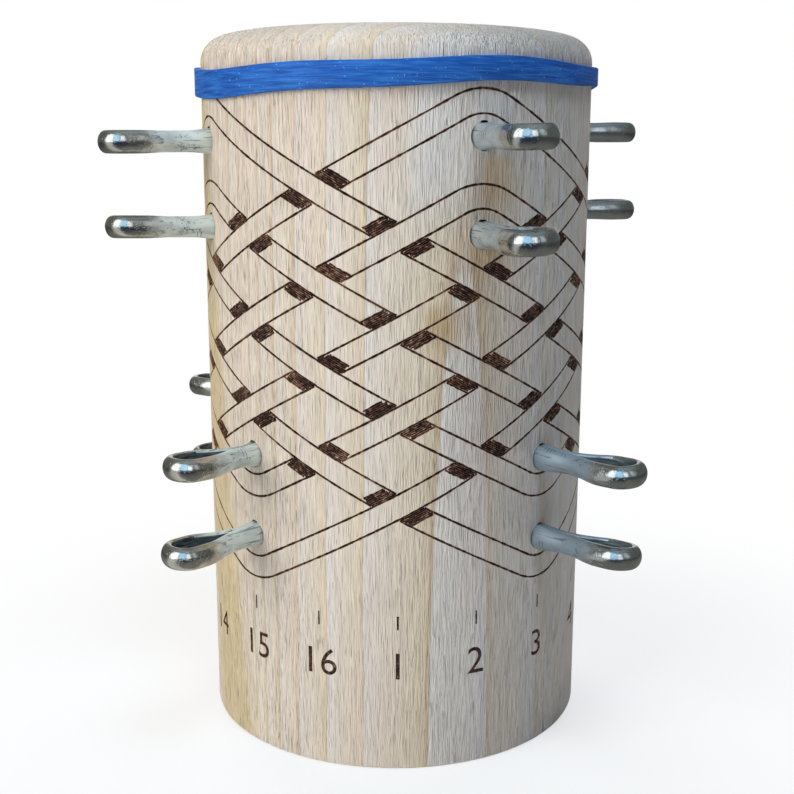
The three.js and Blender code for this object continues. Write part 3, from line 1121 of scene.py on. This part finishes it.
def zinc_plate():
    sheet = new_finish("zinc_plate")
    x, y, z = sheet.parts(sheet.place())
    reach = (x * x + y * y) ** 0.5
    around = x.maths("ARCTAN2", y) * 40
    grain = sheet.noise(sheet.place((1.6, 1.6, 1.6)), 3, 0.6)
    cloud = sheet.noise(sheet.place((0.5, 0.5, 0.5)), 2)
    smear = sheet.noise(sheet.vector(reach * 0.22, around * 0.9, z * 0.9), 2)

    rubbed = (reach + (cloud - 0.5) * 2.2 - x.step(-10, 10) * 2.2).step(*EYE_POLISH)
    polished = rubbed.maths("MAXIMUM", y.step(0, 6) * 0.8)
    worn = 1 - polished
    # Painted light and shade by side: pale dull zinc on the left pins, darker and bluer on the
    # right pins, and bluer grey eyes on the right. The left shanks are also less metallic, which
    # keeps them pale.
    dull = sheet.mix(x.step(-14, 30), DULL_LIT_LEFT, DULL_SHADED_RIGHT)
    dull = sheet.mix(smear.step(0.35, 0.7) * 0.35, dull, SMEARED)
    bright = sheet.mix(cloud.step(0.3, 0.7), BRIGHT, CLOUDED)
    bright = sheet.mix(x.step(-14, 30) * 0.6, bright, BRIGHT_SHADED_RIGHT)
    plated = sheet.mix(polished, dull, bright)

    scratch = sheet.noise(sheet.vector(reach * 0.11, around * 2.6, z * 2.6), 2, 0.6)
    scratch = scratch.step(0.59, 0.66) * worn
    bitten = sheet.noise(sheet.place((0.45, 0.45, 0.45), (3, 1, 4)), 0).step(0.68, 0.73)
    teeth = (reach * TOOTH_WAVE).maths("SINE").step(0.3, 0.9)
    teeth = teeth * bitten * worn * reach.step(38.6, 37.6)
    pocked = sheet.noise(sheet.place((3, 3, 3), (5, 1, 0)), 1)
    pits = pocked.step(0.60, 0.70) * polished
    chewed = pocked.step(0.50, 0.58) * reach.step(33.0, 34.4) * reach.step(38.2, 36.4)
    chewed = chewed * x.step(-24, -28) * smear.step(0.42, 0.58)
    marks = (scratch * 0.6 + chewed * 0.55).maths("ADD", teeth * 0.6, clamp=True)
    marked = sheet.mix(marks, plated, BARE_STEEL)

    relief = grain * 0.5 + smear * 0.6 - teeth - chewed - scratch * 0.5 - pits * 0.4
    return sheet.finish(
        Base_Color=marked,
        Metallic=worn * (x.step(-32, 4) * 0.32 + 0.18) + polished,
        Roughness=0.44 - polished * 0.26 + (grain - 0.5) * 0.06,
        Normal=sheet.bump(relief, DENT_DEPTH, 0.5),
    )


# Painted shade inside the eye: a dark slate flat where the wire faces into the eye.
def eye_inside_shade():
    sheet = new_finish("eye_inside_shade")
    x, y, z = sheet.parts(sheet.place())
    streak = sheet.noise(sheet.vector(x * 0.4, y * 0.4, z * 3), 2, 0.6)
    colour = sheet.mix(streak.step(0.35, 0.65), DARK_EYE_SHADE, PALE_EYE_SHADE)
    return sheet.finish(Base_Color=colour, Metallic=0.6, Roughness=0.42)


def is_inside_eye(face):
    """Whether a face of the pin is part of the wire's flat where it bounds the eye."""
    place, normal = face.center, face.normal
    if place.x <= (NECK_START + 2) * MM:
        return False
    if place.x > EYE_CENTRE * MM:
        inwards = Vector((EYE_CENTRE * MM - place.x, -place.y, 0)).normalized()
        return normal.dot(inwards) > 0.9
    return -normal.y * math.copysign(1, place.y) > 0.9


zinc_finish = zinc_plate()
pin.data.materials.append(zinc_finish)
pin.data.materials.append(eye_inside_shade())
for face in pin.data.polygons:
    face.material_index = int(is_inside_eye(face))
wedge = leg_wedge()
wedge.data.materials.append(zinc_finish)
carve(pin, wedge)
print("pin plated, with", len(pin.data.materials), "finishes")

# %% [markdown]
# ## Sixteen pins in their holes
# A pin that has been in use is twisted in its hole and bent up or down outside it. The front
# pins follow the photograph, and the others wander by about as much.

# %% Seat the pins
# Twist and bend of each front pin, in degrees
FRONT_WEAR = {
    "top_outer_pin_1": (2, -0.7),
    "top_outer_pin_4": (-1, -0.6),
    "top_inner_pin_1": (3, 0.0),
    "top_inner_pin_4": (3, 1.3),
    "bottom_inner_pin_1": (1, 1.2),
    "bottom_inner_pin_4": (1, 1.4),
    "bottom_outer_pin_1": (-7, 1.6),
    "bottom_outer_pin_4": (0, -0.2),
}
TWIST_RANGE = 4
BEND_RANGE = 1

for name, place in hole_places.items():
    by_chance = (rng.uniform(-TWIST_RANGE, TWIST_RANGE), rng.uniform(-BEND_RANGE, BEND_RANGE))
    twist, bend = FRONT_WEAR.get(name, by_chance)
    stand_out = pin_reach[name] - (PIN_TIP + TIP_SPARE) * MM
    wire = copy_of(pin, "wire_" + name, Matrix.Rotation(math.radians(twist), 4, "X"))
    for point in wire.data.vertices:
        point.co.z += max(0, point.co.x - RADIUS) * math.tan(math.radians(bend))
    wire.data.transform(place @ Matrix.Translation((stand_out, 0, 0)))
    smooth(wire, 40)
    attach(wire, name)
    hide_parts(name)
bpy.data.objects.remove(pin)
print(len(hole_places), "pins placed")

# %% [markdown]
# ## The rubber band
# The band is a flat ribbon of rubber, stretched round the wood above the pins. A small bevelled
# rectangle is spun about the mandrel's axis. The stretched ribbon doesn't lie level or keep its
# width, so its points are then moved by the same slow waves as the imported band, with a small
# quick one added to them, and a slight twist at the right draws it up and narrows it.

# %% Stretch the band
BAND_THICKNESS = 0.95 * MM
BAND_WIDTH = 3.9
BAND_GAP = 0.06 * MM
BAND_CORNER = 0.22 * MM
CORNER_STEPS = 4
BAND_STEPS = 240
BAND_HEIGHT = HEIGHT / MM - 6.95
# Each wave's count round the band, its size in millimetres and its phase in degrees
HEIGHT_WAVES = [(1, 0.12, 179), (2, 0.5, 85), (3, 0.24, 41), (6, 0.24, 180)]
WIDTH_WAVE = (1, 0.6, -114)
TWIST_TURN = math.radians(80)
TWIST_SHARPNESS = 8
TWIST_RISE = 0.85
TWIST_NARROWING = 0.55


def wave(turn, count, size, start):
    return size * math.cos(count * turn - math.radians(start))


bpy.ops.mesh.primitive_plane_add(
    size=1, location=(RADIUS + BAND_GAP + BAND_THICKNESS / 2, 0, 0), rotation=(math.pi / 2, 0, 0),
)
band = bpy.context.object
band.name = "blue_band"
band.scale = (BAND_THICKNESS, BAND_WIDTH * MM, 1)
bpy.ops.object.transform_apply()
bpy.ops.object.mode_set(mode="EDIT")
bpy.ops.mesh.select_all(action="SELECT")
bpy.ops.mesh.bevel(offset=BAND_CORNER, segments=CORNER_STEPS, affect="VERTICES")
bpy.ops.mesh.delete(type="ONLY_FACE")
bpy.ops.mesh.select_all(action="SELECT")
bpy.ops.mesh.spin(steps=BAND_STEPS, angle=math.tau, center=(0, 0, 0), axis=(0, 0, 1))
bpy.ops.object.mode_set(mode="OBJECT")
weld(band)
for point in band.data.vertices:
    turn = math.atan2(point.co.x, -point.co.y)
    twisted = max(0, math.cos(turn - TWIST_TURN)) ** TWIST_SHARPNESS
    rise = sum(wave(turn, *each) for each in HEIGHT_WAVES) + TWIST_RISE * twisted
    stretch = (BAND_WIDTH + wave(turn, *WIDTH_WAVE) - TWIST_NARROWING * twisted) / BAND_WIDTH
    point.co.z = (BAND_HEIGHT + rise) * MM + point.co.z * stretch
print("band has", len(band.data.polygons), "faces")

# %% [markdown]
# ## Blue rubber
# Stretched rubber has fine streaks along the band and goes powdery where it dries. A streak is
# noise that changes quickly with height and slowly round the band.

# %% Colour the band
RUBBER_COLOURS = [
    (0.25, paint(4, 50, 124)),
    (0.5, paint(16, 88, 172)),
    (0.75, paint(52, 124, 200)),
]
POWDER = paint(120, 152, 196)
DUST = paint(190, 205, 222)
STREAK_DEPTH = 0.10 * MM


def blue_rubber():
    sheet = new_finish("blue_rubber")
    streak = sheet.noise(sheet.place((0.16, 0.16, 3.2)), 3, 0.6)
    fine = sheet.noise(sheet.place((0.5, 0.5, 9.0)), 2, 0.6)
    specks = sheet.noise(sheet.place((2.4, 2.4, 3.4)), 1).step(0.70, 0.78)
    blue = streak.ramp(RUBBER_COLOURS)
    powdery = sheet.mix((fine - 0.5).step(-0.1, 0.3) * 0.15, blue, POWDER)
    dusty = sheet.mix(specks * 0.5, powdery, DUST)
    return sheet.finish(
        Base_Color=dusty,
        Roughness=0.55 + (fine - 0.5) * 0.2,
        Normal=sheet.bump(streak + fine * 0.4, STREAK_DEPTH, 0.7),
        Specular_IOR_Level=0.4,
    )


band.data.materials.append(blue_rubber())
smooth(band, 40)
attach(band, "rubber_band")
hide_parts("rubber_band")
print("band coloured")
